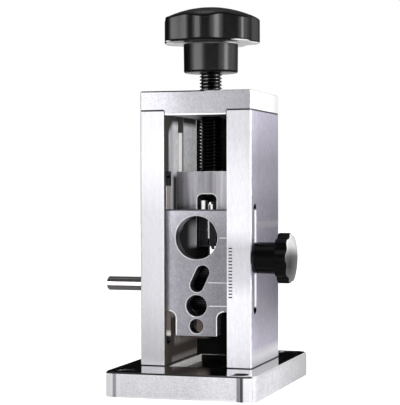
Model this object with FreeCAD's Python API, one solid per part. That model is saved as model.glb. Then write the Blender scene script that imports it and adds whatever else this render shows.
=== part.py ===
"""Drill-driven wire stripper: a two-upright frame on a base plate.

Millimetres. X runs across the frame, with the lock knob on +X and the drive shaft on -X.
-Y is the feed side and +Z is up. The origin is the middle of the underside of the base.
"""
import FreeCAD, Part
import math
import os

V = FreeCAD.Vector

# ---- driving dimensions ----
base_width = 78.7
base_depth = 116.5
base_thickness = 12.4
base_corner_radius = 6.35
base_edge_chamfer = 0.8
mount_hole_diameter = 9.0
mount_hole_inset_x = 10.2
mount_hole_inset_y = 7.8
channel_wall = 2.6            # base left standing between the channel and each upright
channel_depth = 3.8

frame_depth = 57.15
frame_gap = 33.3              # between the inner faces of the uprights
upright_thickness = 12.7
upright_height = 130.5
top_plate_thickness = 10.0
key_drop = 2.4                # depth of the key that hangs between the uprights
key_side_clearance = 0.05
key_edge_radius = 1.2
frame_edge_chamfer = 0.5
joint_chamfer = 0.25          # round the joints of the uprights with the base and the top plate

guide_from_front = 7.4        # middle of the guide plate behind the front of the frame
guide_thickness = 7.94
guide_height = 64.4
guide_rest_height = 15.6      # underside of the guide plate above the base
guide_tongue_width = 21.9
guide_notch_height = 12.4
guide_notch_radius = 3.6
guide_groove_depth = 4.0
guide_end_clearance = 0.2     # between the edge of the plate and the floor of its groove
guide_face_clearance = 0.08
guide_travel = 13.5           # up, and the same down
hole_line_x = -0.6            # line of the round holes, from the middle of the frame
big_hole_diameter = 22.2
big_hole_height = 50.0        # hole centres above the underside of the plate
oblong_width = 7.2
oblong_low = (0.2, 25.8)      # ends of the oblong hole, from the line of the round holes
oblong_high = (3.3, 32.4)
oblong_line_height = 27.2
medium_hole_diameter = 11.0
medium_hole_height = 15.3
small_hole_diameter = 7.4
small_hole_height = 4.9
hole_chamfer = 0.45
index_line_width = 0.35
index_line_depth = 0.2
index_line_gap = 1.2          # between a hole and the start of its line

carriage_width_clearance = 0.1
carriage_depth = 15.9
carriage_height = 22.0
carriage_rest_height = 77.6   # underside of the carriage above the base
carriage_tongue_depth = 9.5
carriage_groove_depth = 4.0
carriage_groove_clearance = 0.05
carriage_end_clearance = 0.2
carriage_travel_down = 4.0
carriage_chamfer = 0.6
arch_width = 10.6
arch_height = 10.2
arch_radius = 3.0

screw_diameter = 11.8
screw_pitch = 1.75
thread_depth = 1.0
screw_bore_clearance = 0.08
screw_seat_depth = 9.4        # how far the screw enters the carriage
screw_end_gap = 0.3
screw_end_bevel = 0.8
thread_run_out = 1.2          # plain length at each end of the thread
neck_land = 2.2               # full-size end below the neck
neck_diameter = 8.0
neck_width = 2.8
swivel_pin_diameter = 2.5
swivel_pin_length = 29.0
swivel_pin_clearance = 0.05

knob_diameter = 51.6
knob_rim_height = 12.3
knob_dome_height = 6.5
knob_lobes = 7
knob_scallop_depth = 2.6
knob_scallop_radius = 18.0
knob_lobe_angle = -81.6       # degrees from +X to the first lobe
knob_hub_diameter = 28.6
knob_hub_height = 15.2
knob_edge_share = 0.09        # rounding of a knob's rim as a share of its rim
knob_lift = 11.0              # bare thread between the top plate and the hub
knob_insert_diameter = 17.0
knob_insert_length = 16.0
knob_insert_floor = 1.5

lock_stud_diameter = 6.0
lock_stud_grip = 9.0          # length of stud held in the guide plate
lock_stud_height = 40.0       # above the underside of the guide plate
lock_slot_clearance = 0.25
lock_slot_drop = 0.6          # middle of the slot below the stud at rest
lock_slot_length = 56.2       # longer than the travel, so the edge of the plate shows in it
lock_washer_thickness = 1.0
lock_washer_diameter = 15.6
lock_washer_gap = 0.1
lock_hub_diameter = 16.0
lock_hub_length = 11.4
lock_rim_diameter = 25.6
lock_rim_length = 6.3
lock_dome_height = 2.3
lock_lobes = 9
lock_lobe_angle = 25.6
lock_scallop_depth = 1.1
lock_scallop_radius = 5.2
lock_insert_diameter = 10.0
lock_insert_length = 12.0
lock_insert_floor = 1.5
lock_thread_clearance = 0.06

shaft_height = 40.0           # drive axis above the base
shaft_diameter = 9.5
hex_across_flats = 6.35
hex_length = 28.0
journal_clearance = 0.05
bushing_diameter = 14.0
blind_bushing_length = 9.0
blind_bore_gap = 0.5
fit_clearance = 0.01
roller_diameter = 28.0
roller_length = 18.0
roller_teeth = 56
knurl_depth = 0.7
roller_edge_chamfer = 1.0
roller_hub_diameter = 19.0
roller_hub_length = 5.6
roller_side_gap = 0.1
spacer_diameter = 16.0
roller_screw_diameter = 4.0

blade_thickness = 1.0
blade_width = 9.0
blade_length = 24.0
blade_flat = 1.5
blade_point = 6.0             # height of the slanted cutting edge
blade_below_carriage = 19.0
holder_width = 10.0
holder_depth = 11.0
holder_below_carriage = 17.0
holder_slot_clearance = 0.02
holder_flange_width = 24.0
holder_flange_height = 13.0
holder_flange_thickness = 4.0
holder_flange_lift = 0.5      # flange above the underside of the carriage
holder_arch_gap = 0.4         # holder below the round corners of the arch
clamp_drop = 0.8              # clamp shorter than the holder at the top
clamp_screw_lift = 6.0
clamp_screw_spacing = 9.0
clamp_screw_sink = 2.2
clamp_bevel = 0.8
clamp_screw_diameter = 3.0
clamp_screw_head = 5.0
holder_screw_diameter = 4.0
holder_screw_head = 7.0
holder_screw_spacing = 17.0
holder_screw_length = 11.0

guard_width = 52.0
guard_height = 129.3
guard_lift = 0.6
guard_thickness = 3.0
guard_corner_radius = 3.0
exit_width = 20.0
exit_height = 30.0
exit_bottom = 48.0
exit_radius = 4.0
guard_screw_diameter = 4.0
guard_screw_head = 7.6
guard_screw_head_height = 2.2
guard_screw_spread = 0.68     # height between the two rows as a share of the guard's height
guard_screw_length = 8.0
guard_screw_inset = 3.0       # from the side edge of the guard

frame_screw_diameter = 5.0
frame_screw_head = 8.5
frame_screw_head_height = 5.0
frame_screw_spacing_y = 34.0
base_screw_grip = 11.0        # thread held in the upright
top_screw_length = 22.0
top_screw_head = 10.0
screw_hole_clearance = 0.05
head_hole_clearance = 0.3

# ---- places worked out from them ----
base_top = base_thickness
half_gap = frame_gap / 2
frame_half_width = half_gap + upright_thickness
front_y = -frame_depth / 2
back_y = frame_depth / 2
upright_top = base_top + upright_height
frame_top = upright_top + top_plate_thickness
key_bottom = upright_top - key_drop
upright_middle_x = half_gap + upright_thickness / 2
guard_screw_x = guard_width / 2 - guard_screw_inset
guide_y = front_y + guide_from_front
guide_half_width = half_gap + guide_groove_depth - guide_end_clearance
guide_groove_width = guide_thickness + 2 * guide_face_clearance
guide_bottom = base_top + guide_rest_height
guide_top = guide_bottom + guide_height
guide_shoulder = guide_bottom + guide_notch_height
lock_z = guide_bottom + lock_stud_height
carriage_bottom = base_top + carriage_rest_height
carriage_top = carriage_bottom + carriage_height
carriage_half_width = half_gap - carriage_width_clearance
screw_bottom = carriage_top - screw_seat_depth + screw_end_gap
neck_z = screw_bottom + neck_land + neck_width / 2
knob_bottom = frame_top + knob_lift
screw_top = knob_bottom + knob_insert_length - knob_insert_floor
screw_bore_radius = screw_diameter / 2 + screw_bore_clearance
shaft_z = base_top + shaft_height
journal_radius = shaft_diameter / 2 + journal_clearance


def box(x0, x1, y0, y1, z0, z1):
    """A block between two corners."""
    return Part.makeBox(x1 - x0, y1 - y0, z1 - z0, V(x0, y0, z0))


def rod(diameter, start, end):
    """A round bar from one point to another."""
    axis = end - start
    return Part.makeCylinder(diameter / 2, axis.Length, start, axis)


def cone(start_diameter, end_diameter, start, end):
    """A tapered bar from one point to another."""
    axis = end - start
    return Part.makeCone(start_diameter / 2, end_diameter / 2, axis.Length, start, axis)


def polygon(points):
    """A flat face with straight sides."""
    return Part.Face(Part.makePolygon(points + [points[0]]))


def slot_x(width, y, z0, z1, x0, x1):
    """A slot with round ends, cut along X, that reaches from z0 to z1."""
    radius = width / 2
    body = box(x0, x1, y - radius, y + radius, z0 + radius, z1 - radius)
    for z in (z0 + radius, z1 - radius):
        body = body.fuse(rod(width, V(x0, y, z), V(x1, y, z)))
    return body.removeSplitter()


def edges_at(shape, test):
    """The edges whose ends and middle all pass a test."""
    found = []
    for edge in shape.Edges:
        middle = edge.valueAt((edge.FirstParameter + edge.LastParameter) / 2)
        points = [vertex.Point for vertex in edge.Vertexes] + [middle]
        if all(test(point) for point in points):
            found.append(edge)
    return found


def near(a, b):
    return abs(a - b) < 1e-4


def mirror_x(shape):
    return shape.mirror(V(0, 0, 0), V(1, 0, 0))


def group(solids):
    """Several separate solids kept together in one node."""
    return Part.makeCompound(solids)


def screw_hole(diameter, start, end):
    """A plain hole for a fixing screw."""
    return rod(diameter + 2 * screw_hole_clearance, start, end)


def socket_screw(head, shank_end, shank_diameter, head_diameter, head_height):
    """A cap screw: head is the seat of its head, and the shank runs to shank_end."""
    axis = shank_end - head
    axis.normalize()
    top = head - axis * head_height
    body = rod(shank_diameter, head - axis * 0.01, shank_end)
    body = body.fuse(rod(head_diameter, top, head))
    key = hexagon(head_diameter / 2, top, axis).extrude(axis * head_height / 2)
    return body.cut(key).removeSplitter()


def hexagon(across_flats, centre, axis):
    """A hexagonal face square to an axis, with a corner upward when the axis lies flat."""
    side = V(0, 0, 1) if abs(axis.z) < 0.5 else V(1, 0, 0)
    other = axis.cross(side)
    radius = across_flats / math.sqrt(3)
    points = []
    for step in range(6):
        turn = math.radians(60 * step)
        points.append(centre + side * (radius * math.cos(turn)) + other * (radius * math.sin(turn)))
    return polygon(points)


def corner_points(x, y):
    """Four points, one in each quarter."""
    return [(sx * x, sy * y) for sx in (-1, 1) for sy in (-1, 1)]


# ---- base ----
def make_base_plate():
    half_x = base_width / 2
    half_y = base_depth / 2
    plate = box(-half_x, half_x, -half_y, half_y, 0, base_top)
    upright_edges = edges_at(plate, lambda p: near(abs(p.x), half_x) and near(abs(p.y), half_y))
    plate = plate.makeFillet(base_corner_radius, upright_edges)
    rim = edges_at(plate, lambda p: near(p.z, base_top))
    plate = plate.makeChamfer(base_edge_chamfer, rim)
    channel_x = half_gap - channel_wall
    plate = plate.cut(box(-channel_x, channel_x, front_y, back_y, base_top - channel_depth, base_top + 1))
    for x, y in corner_points(half_x - mount_hole_inset_x, half_y - mount_hole_inset_y):
        plate = plate.cut(rod(mount_hole_diameter, V(x, y, -1), V(x, y, base_top + 1)))
        plate = plate.cut(cone(mount_hole_diameter, mount_hole_diameter + 2 * hole_chamfer,
                               V(x, y, base_top - hole_chamfer), V(x, y, base_top)))
    for x, y in corner_points(upright_middle_x, frame_screw_spacing_y / 2):
        plate = plate.cut(screw_hole(frame_screw_diameter, V(x, y, -1), V(x, y, base_top + 1)))
        plate = plate.cut(rod(frame_screw_head + 2 * head_hole_clearance,
                              V(x, y, -1), V(x, y, frame_screw_head_height + head_hole_clearance)))
    return plate


def make_base_screws():
    screws = []
    seat_z = frame_screw_head_height + head_hole_clearance
    for x, y in corner_points(upright_middle_x, frame_screw_spacing_y / 2):
        screws.append(socket_screw(V(x, y, seat_z), V(x, y, base_top + base_screw_grip),
                                   frame_screw_diameter, frame_screw_head, frame_screw_head_height))
    return group(screws)


# ---- uprights ----
def guide_groove_span():
    """Lowest and highest reach of the groove, so that the square plate meets no round end."""
    spare = guide_groove_width / 2 + guide_end_clearance
    return guide_shoulder - guide_travel - spare, guide_top + guide_travel + spare


def make_upright_blank():
    """The right-hand upright before its own bores."""
    body = box(half_gap, frame_half_width, front_y, back_y, base_top, upright_top)
    outer = edges_at(body, lambda p: near(p.x, frame_half_width) and near(abs(p.y), back_y))
    body = body.makeChamfer(frame_edge_chamfer, outer)
    ends = edges_at(body, lambda p: near(p.z, base_top) or near(p.z, upright_top))
    body = body.makeChamfer(joint_chamfer, ends)
    low, high = guide_groove_span()
    floor_x = half_gap + guide_groove_depth
    body = body.cut(slot_x(guide_groove_width, guide_y, low, high, half_gap - 1, floor_x))
    groove = carriage_tongue_depth + 2 * carriage_groove_clearance
    groove_bottom = carriage_bottom - carriage_travel_down - groove / 2 - carriage_end_clearance
    body = body.cut(slot_x(groove, 0, groove_bottom, upright_top + groove,
                           half_gap - 1, half_gap + carriage_groove_depth))
    for y in (-frame_screw_spacing_y / 2, frame_screw_spacing_y / 2):
        low_hole_end = base_top + base_screw_grip + 1
        high_hole_end = frame_top - top_screw_length - 1
        body = body.cut(screw_hole(frame_screw_diameter, V(upright_middle_x, y, base_top - 1),
                                   V(upright_middle_x, y, low_hole_end)))
        body = body.cut(screw_hole(frame_screw_diameter, V(upright_middle_x, y, high_hole_end),
                                   V(upright_middle_x, y, upright_top + 1)))
    for z in guard_screw_heights():
        body = body.cut(screw_hole(guard_screw_diameter, V(guard_screw_x, back_y - guard_screw_length, z),
                                   V(guard_screw_x, back_y + 1, z)))
    return body


def make_left_upright():
    body = mirror_x(make_upright_blank())
    bore = bushing_diameter + 2 * fit_clearance
    return body.cut(rod(bore, V(-frame_half_width - 1, 0, shaft_z), V(-half_gap + 1, 0, shaft_z)))


def make_right_upright():
    body = make_upright_blank()
    bore = bushing_diameter + 2 * fit_clearance
    bore_end = half_gap + blind_bushing_length + blind_bore_gap
    body = body.cut(rod(bore, V(half_gap - 1, 0, shaft_z), V(bore_end, 0, shaft_z)))
    slot_width = lock_stud_diameter + 2 * lock_slot_clearance
    reach = lock_slot_length / 2
    middle = lock_z - lock_slot_drop
    stud_slot = slot_x(slot_width, guide_y, middle - reach, middle + reach,
                       half_gap + guide_groove_depth - 1, frame_half_width + 1)
    return body.cut(stud_slot)


# ---- top plate ----
def make_top_plate():
    body = box(-frame_half_width, frame_half_width, front_y, back_y, upright_top, frame_top)
    corners = edges_at(body, lambda p: near(abs(p.x), frame_half_width) and near(abs(p.y), back_y))
    body = body.makeChamfer(frame_edge_chamfer, corners)
    rim = edges_at(body, lambda p: near(p.z, frame_top))
    body = body.makeChamfer(frame_edge_chamfer, rim)
    body = body.makeChamfer(joint_chamfer, edges_at(body, lambda p: near(p.z, upright_top)))
    key_x = half_gap - key_side_clearance
    key = box(-key_x, key_x, front_y, back_y, key_bottom, upright_top + 1)
    key_edges = edges_at(key, lambda p: near(abs(p.x), key_x) and near(p.z, key_bottom))
    key = key.makeFillet(key_edge_radius, key_edges)
    body = body.fuse(key).removeSplitter()
    body = body.cut(rod(2 * screw_bore_radius, V(0, 0, key_bottom - 1), V(0, 0, frame_top + 1)))
    body = body.cut(cone(2 * screw_bore_radius, 2 * (screw_bore_radius + hole_chamfer),
                         V(0, 0, frame_top - hole_chamfer), V(0, 0, frame_top)))
    hole = frame_screw_diameter + 2 * screw_hole_clearance
    sink = (top_screw_head - frame_screw_diameter) / 2
    for x, y in corner_points(upright_middle_x, frame_screw_spacing_y / 2):
        body = body.cut(rod(hole, V(x, y, upright_top - 1), V(x, y, frame_top + 1)))
        body = body.cut(cone(hole, top_screw_head + 2 * screw_hole_clearance,
                             V(x, y, frame_top - sink), V(x, y, frame_top)))
    return body


def make_top_screws():
    screws = []
    head_height = (top_screw_head - frame_screw_diameter) / 2
    for x, y in corner_points(upright_middle_x, frame_screw_spacing_y / 2):
        body = rod(frame_screw_diameter, V(x, y, frame_top - top_screw_length), V(x, y, frame_top))
        body = body.fuse(cone(frame_screw_diameter, top_screw_head, V(x, y, frame_top - head_height),
                              V(x, y, frame_top)))
        key = hexagon(top_screw_head / 3, V(x, y, frame_top - head_height), V(0, 0, 1))
        key = key.extrude(V(0, 0, 2 * head_height))
        screws.append(body.cut(key).removeSplitter())
    return group(screws)


# ---- rear guard ----
def guard_screw_heights():
    middle = base_top + guard_lift + guard_height / 2
    reach = guard_height * guard_screw_spread / 2
    return middle - reach, middle + reach


def make_rear_guard():
    outer_y = back_y + guard_thickness
    low = base_top + guard_lift
    body = rounded_panel(guard_width, low, guard_height, guard_corner_radius, back_y, outer_y)
    window = rounded_panel(exit_width, base_top + exit_bottom, exit_height, exit_radius,
                           back_y - 1, outer_y + 1)
    body = body.cut(window)
    for x in (-guard_screw_x, guard_screw_x):
        for z in guard_screw_heights():
            body = body.cut(screw_hole(guard_screw_diameter, V(x, back_y - 1, z), V(x, outer_y + 1, z)))
    return body


def rounded_panel(width, low, height, radius, y0, y1):
    """An upright panel across X with four round corners."""
    half = width / 2
    high = low + height
    body = box(-half, half, y0, y1, low, high)
    corners = edges_at(body, lambda p: near(abs(p.x), half) and (near(p.z, low) or near(p.z, high)))
    return body.makeFillet(radius, corners)


def make_guard_screws():
    screws = []
    seat = back_y + guard_thickness
    for x in (-guard_screw_x, guard_screw_x):
        for z in guard_screw_heights():
            screws.append(socket_screw(V(x, seat, z), V(x, back_y - guard_screw_length + 1, z),
                                       guard_screw_diameter, guard_screw_head, guard_screw_head_height))
    return group(screws)


# ---- drive ----
def drive_sleeve(outer_diameter, bore, x0, x1):
    """A ring round the drive axis, from x0 to x1."""
    ring = rod(outer_diameter, V(x0, 0, shaft_z), V(x1, 0, shaft_z))
    return ring.cut(rod(bore, V(x0 - 1, 0, shaft_z), V(x1 + 1, 0, shaft_z)))


def make_left_bushing():
    return drive_sleeve(bushing_diameter, 2 * journal_radius, -frame_half_width, -half_gap)


def make_right_bushing():
    return drive_sleeve(bushing_diameter, 2 * journal_radius, half_gap, half_gap + blind_bushing_length)


def make_drive_shaft():
    inner_end = half_gap + blind_bushing_length
    body = rod(shaft_diameter, V(-frame_half_width, 0, shaft_z), V(inner_end, 0, shaft_z))
    tip = V(-frame_half_width - hex_length, 0, shaft_z)
    bar = hexagon(hex_across_flats, tip, V(1, 0, 0)).extrude(V(hex_length + 1, 0, 0))
    across_corners = hex_across_flats * 2 / math.sqrt(3)
    bevel = (across_corners - hex_across_flats) / 2 + screw_hole_clearance
    point = cone(across_corners - 2 * bevel, across_corners, tip, tip + V(bevel, 0, 0))
    point = point.fuse(rod(across_corners + 0.01, tip + V(bevel, 0, 0), tip + V(hex_length + 2, 0, 0)))
    return body.fuse(bar.common(point)).removeSplitter()


def knurled_wheel(radius, depth, teeth, x0, x1):
    """A wheel along X with straight V grooves round it."""
    points = []
    for index in range(2 * teeth):
        turn = math.pi * index / teeth
        reach = radius if index % 2 == 0 else radius - depth
        points.append(V(x0, reach * math.cos(turn), shaft_z + reach * math.sin(turn)))
    return polygon(points).extrude(V(x1 - x0, 0, 0))


def make_feed_roller():
    x0 = -roller_length / 2
    x1 = roller_length / 2
    radius = roller_diameter / 2
    wheel = knurled_wheel(radius, knurl_depth, roller_teeth, x0, x1)
    c = roller_edge_chamfer
    profile = polygon([V(x0, 0, shaft_z), V(x0, 0, shaft_z + radius - c), V(x0 + c, 0, shaft_z + radius),
                       V(x1 - c, 0, shaft_z + radius), V(x1, 0, shaft_z + radius - c), V(x1, 0, shaft_z)])
    wheel = wheel.common(profile.revolve(V(0, 0, shaft_z), V(1, 0, 0), 360))
    hub_end = x0 - roller_hub_length
    wheel = wheel.fuse(rod(roller_hub_diameter, V(hub_end, 0, shaft_z), V(x0 + 1, 0, shaft_z)))
    bore = shaft_diameter + 2 * fit_clearance
    wheel = wheel.cut(rod(bore, V(hub_end - 1, 0, shaft_z), V(x1 + 1, 0, shaft_z)))
    for end in roller_screw_ends():
        wheel = wheel.cut(rod(roller_screw_diameter + 2 * fit_clearance, V(end.x, 0, shaft_z), end))
    return wheel.removeSplitter()


def roller_screw_ends():
    """Outer ends of the two set screws in the roller's hub, at right angles to each other."""
    x = -roller_length / 2 - roller_hub_length / 2
    reach = roller_hub_diameter / 2
    return V(x, -reach - 1, shaft_z), V(x, 0, shaft_z - reach - 1)


def make_roller_screws():
    screws = []
    for end in roller_screw_ends():
        out = V(0, end.y, end.z - shaft_z)
        out.normalize()
        axis_point = V(end.x, 0, shaft_z)
        inner = axis_point + out * (shaft_diameter / 2 + fit_clearance)
        outer = axis_point + out * (roller_hub_diameter / 2 - head_hole_clearance)
        body = rod(roller_screw_diameter, inner, outer)
        key = hexagon(roller_screw_diameter / 2, outer - out * (roller_screw_diameter / 2), out)
        screws.append(body.cut(key.extrude(out * roller_screw_diameter)))
    return group(screws)


def make_roller_spacers():
    bore = shaft_diameter + 2 * fit_clearance
    spans = ((-half_gap + roller_side_gap, -roller_length / 2 - roller_hub_length),
             (roller_length / 2, half_gap - roller_side_gap))
    return group([drive_sleeve(spacer_diameter, bore, x0, x1) for x0, x1 in spans])


# ---- adjuster ----
def ringed_profile(radius, depth, pitch, z0, z1):
    """Radius and height pairs for a threaded length, from z0 up to z1."""
    points = [(radius - depth, z0)]
    turns = int((z1 - z0) / pitch)
    for turn in range(turns):
        z = z0 + turn * pitch
        points.append((radius, z + pitch * 0.44))
        points.append((radius, z + pitch * 0.56))
        points.append((radius - depth, z + pitch))
    if z1 - points[-1][1] > 0.01:
        points.append((radius - depth, z1))
    return points


def make_adjuster_screw():
    radius = screw_diameter / 2
    neck = neck_diameter / 2
    neck_low = neck_z - neck_width / 2
    neck_high = neck_z + neck_width / 2
    outline = [(0, screw_bottom), (radius - screw_end_bevel, screw_bottom),
               (radius, screw_bottom + screw_end_bevel), (radius, neck_low), (neck, neck_low),
               (neck, neck_high), (radius - thread_depth, neck_high)]
    thread_start = neck_high + thread_run_out
    outline += ringed_profile(radius, thread_depth, screw_pitch, thread_start, screw_top - thread_run_out)
    outline += [(radius - thread_depth, screw_top), (0, screw_top)]
    return polygon([V(r, 0, z) for r, z in outline]).revolve(V(0, 0, 0), V(0, 0, 1), 360)


def lobed_knob(diameter, rim, dome, hub_diameter, hub, lobes, scallop_radius, scallop_depth, first_lobe):
    """A knob along +Z with the end of its hub at z = 0."""
    radius = diameter / 2
    edge = rim * knob_edge_share
    rim_top = hub + rim
    corner = V(radius - edge, 0, rim_top)
    turn = math.sin(math.radians(45))
    edge_middle = V(radius - edge + edge * turn, 0, rim_top - edge + edge * turn)
    dome_radius = (corner.x ** 2 + dome ** 2) / (2 * dome)
    dome_centre = rim_top + dome - dome_radius
    half_angle = math.asin(corner.x / dome_radius) / 2
    dome_middle = V(dome_radius * math.sin(half_angle), 0, dome_centre + dome_radius * math.cos(half_angle))
    bevel = 0.5 * edge
    hub_radius = hub_diameter / 2
    points = [V(0, 0, 0), V(hub_radius - bevel, 0, 0), V(hub_radius, 0, bevel), V(hub_radius, 0, hub),
              V(radius - bevel, 0, hub), V(radius, 0, hub + bevel), V(radius, 0, rim_top - edge)]
    sides = [Part.LineSegment(a, b) for a, b in zip(points, points[1:])]
    sides.append(Part.Arc(points[-1], edge_middle, corner))
    sides.append(Part.Arc(corner, dome_middle, V(0, 0, rim_top + dome)))
    sides.append(Part.LineSegment(V(0, 0, rim_top + dome), points[0]))
    outline = Part.Wire([side.toShape() for side in sides])
    body = Part.Face(outline).revolve(V(0, 0, 0), V(0, 0, 1), 360)
    for index in range(lobes):
        turn = math.radians(first_lobe + 360 * (index + 0.5) / lobes)
        reach = radius + scallop_radius - scallop_depth
        centre = V(reach * math.cos(turn), reach * math.sin(turn), hub - 0.01)
        body = body.cut(rod(2 * scallop_radius, centre, centre + V(0, 0, rim + dome + 2)))
    return body


def make_adjuster_knob():
    body = lobed_knob(knob_diameter, knob_rim_height, knob_dome_height, knob_hub_diameter,
                      knob_hub_height, knob_lobes, knob_scallop_radius, knob_scallop_depth, knob_lobe_angle)
    body.translate(V(0, 0, knob_bottom))
    hole = rod(knob_insert_diameter, V(0, 0, knob_bottom - 1), V(0, 0, knob_bottom + knob_insert_length))
    return body.cut(hole)


def make_knob_insert():
    body = rod(knob_insert_diameter, V(0, 0, knob_bottom), V(0, 0, knob_bottom + knob_insert_length))
    return body.cut(rod(screw_diameter, V(0, 0, knob_bottom - 1), V(0, 0, screw_top)))


def swivel_pin_offset():
    return neck_diameter / 2 + swivel_pin_diameter / 2 + swivel_pin_clearance


def make_swivel_pins():
    half = swivel_pin_length / 2
    return group([rod(swivel_pin_diameter, V(-half, y, neck_z), V(half, y, neck_z))
                  for y in (-swivel_pin_offset(), swivel_pin_offset())])


# ---- carriage ----
def make_blade_carriage():
    half_y = carriage_depth / 2
    body = box(-carriage_half_width, carriage_half_width, -half_y, half_y, carriage_bottom, carriage_top)
    rim = edges_at(body, lambda p: near(abs(p.x), carriage_half_width) and near(abs(p.y), half_y))
    body = body.makeChamfer(carriage_chamfer, rim)
    reach = half_gap + carriage_groove_depth - carriage_end_clearance
    tongue_y = carriage_tongue_depth / 2
    body = body.fuse(box(-reach, reach, -tongue_y, tongue_y, carriage_bottom, carriage_top)).removeSplitter()
    arch_x = arch_width / 2
    arch_top = carriage_bottom + arch_height
    arch = box(-arch_x, arch_x, -half_y - 1, half_y + 1, carriage_bottom - 1, arch_top)
    arch_corners = edges_at(arch, lambda p: near(abs(p.x), arch_x) and near(p.z, arch_top))
    body = body.cut(arch.makeFillet(arch_radius, arch_corners))
    seat_floor = carriage_top - screw_seat_depth
    body = body.cut(rod(2 * screw_bore_radius, V(0, 0, seat_floor), V(0, 0, carriage_top + 1)))
    for y in (-swivel_pin_offset(), swivel_pin_offset()):
        half = swivel_pin_length / 2
        body = body.cut(rod(swivel_pin_diameter + 2 * fit_clearance, V(-half, y, neck_z), V(half, y, neck_z)))
    for x in (-holder_screw_spacing / 2, holder_screw_spacing / 2):
        hole_end = half_y - holder_screw_length + holder_flange_thickness
        body = body.cut(screw_hole(holder_screw_diameter, V(x, hole_end, flange_screw_z()),
                                   V(x, half_y + 1, flange_screw_z())))
    return body


def flange_screw_z():
    return carriage_bottom + holder_flange_lift + holder_flange_height / 2


def blade_half():
    return blade_thickness / 2


def clamp_screw_heights():
    low = carriage_bottom - holder_below_carriage + clamp_screw_lift
    return low, low + clamp_screw_spacing


def holder_top():
    return carriage_bottom + arch_height - arch_radius - holder_arch_gap


def make_blade_holder():
    half = holder_width / 2
    bottom = carriage_bottom - holder_below_carriage
    back = carriage_depth / 2
    rear = back + holder_flange_thickness
    split = -blade_half() - holder_slot_clearance
    body = box(-half, split, -holder_depth / 2, back, bottom, holder_top())
    body = body.fuse(box(-half, half, holder_depth / 2, back, carriage_bottom, holder_top()))
    flange_low = carriage_bottom + holder_flange_lift
    flange = box(-holder_flange_width / 2, holder_flange_width / 2, back, rear,
                 flange_low, flange_low + holder_flange_height)
    body = body.fuse(flange).removeSplitter()
    for x in (-holder_screw_spacing / 2, holder_screw_spacing / 2):
        body = body.cut(screw_hole(holder_screw_diameter, V(x, back - 1, flange_screw_z()),
                                   V(x, rear + 1, flange_screw_z())))
    for z in clamp_screw_heights():
        body = body.cut(screw_hole(clamp_screw_diameter, V(-half - 1, 0, z), V(1, 0, z)))
    return body


def make_blade():
    half = blade_half()
    y0 = -blade_width / 2
    y1 = blade_width / 2
    tip_z = carriage_bottom - blade_below_carriage
    top_z = tip_z + blade_length
    outline = polygon([V(-half, y0, tip_z + blade_point), V(-half, y1 - blade_flat, tip_z),
                       V(-half, y1, tip_z), V(-half, y1, top_z - blade_flat), V(-half, y0, top_z)])
    body = outline.extrude(V(blade_thickness, 0, 0))
    for z in clamp_screw_heights():
        body = body.cut(screw_hole(clamp_screw_diameter, V(-1, 0, z), V(1, 0, z)))
    return body


def make_blade_clamp():
    front = -holder_depth / 2
    outer = holder_width / 2
    inner = blade_half() + holder_slot_clearance
    bottom = carriage_bottom - holder_below_carriage
    body = box(inner, outer, front, -front - head_hole_clearance, bottom, holder_top() - clamp_drop)
    body = body.makeChamfer(clamp_bevel, edges_at(body, lambda p: near(p.x, outer) and near(p.y, front)))
    for z in clamp_screw_heights():
        body = body.cut(screw_hole(clamp_screw_diameter, V(0, 0, z), V(holder_width, 0, z)))
        body = body.cut(screw_hole(clamp_screw_head, V(outer - clamp_screw_sink, 0, z),
                                   V(holder_width, 0, z)))
    return body


def make_clamp_screws():
    seat = holder_width / 2 - clamp_screw_sink
    end = -holder_width / 2 + holder_arch_gap
    return group([socket_screw(V(seat, 0, z), V(end, 0, z), clamp_screw_diameter, clamp_screw_head,
                               clamp_screw_sink - screw_hole_clearance) for z in clamp_screw_heights()])


def make_holder_screws():
    seat = carriage_depth / 2 + holder_flange_thickness
    end = seat - holder_screw_length + head_hole_clearance
    return group([socket_screw(V(x, seat, flange_screw_z()), V(x, end, flange_screw_z()),
                               holder_screw_diameter, holder_screw_head, holder_screw_diameter)
                  for x in (-holder_screw_spacing / 2, holder_screw_spacing / 2)])


# ---- guide plate and lock ----
def guide_hole(diameter, x, height, face_y):
    """A cutter for one hole, with a chamfer at the feed side."""
    z = guide_bottom + height
    hole = rod(diameter, V(x, guide_y - guide_thickness, z), V(x, guide_y + guide_thickness, z))
    rim = V(x, face_y, z)
    return hole.fuse(cone(diameter + 2 * hole_chamfer, diameter, rim, rim + V(0, hole_chamfer, 0)))


def oblong_cutter(face_y):
    low = V(hole_line_x + oblong_low[0], 0, guide_bottom + oblong_low[1])
    high = V(hole_line_x + oblong_high[0], 0, guide_bottom + oblong_high[1])
    along = high - low
    across = V(along.z, 0, -along.x)
    across.normalize()
    cutter = guide_hole(oblong_width, low.x, oblong_low[1], face_y)
    cutter = cutter.fuse(guide_hole(oblong_width, high.x, oblong_high[1], face_y))
    shift = V(0, guide_y - guide_thickness, 0)
    half = across * (oblong_width / 2)
    slab = polygon([low - half + shift, high - half + shift, high + half + shift, low + half + shift])
    cutter = cutter.fuse(slab.extrude(V(0, 2 * guide_thickness, 0)))
    wide = across * (oblong_width / 2 + hole_chamfer)
    bevel = Part.Face(Part.makePolygon([low + V(0, face_y, 0) - wide, low + V(0, face_y, 0) + wide,
                                        low + V(0, face_y + hole_chamfer, 0) + half,
                                        low + V(0, face_y + hole_chamfer, 0) - half,
                                        low + V(0, face_y, 0) - wide]))
    return cutter.fuse(bevel.extrude(along))


def oblong_side(height):
    """Right side of the oblong hole at a height, from the line of the round holes."""
    lean = (oblong_high[0] - oblong_low[0]) / (oblong_high[1] - oblong_low[1])
    return oblong_low[0] + lean * (height - oblong_low[1]) + oblong_width / 2 * math.hypot(1, lean)


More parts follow.
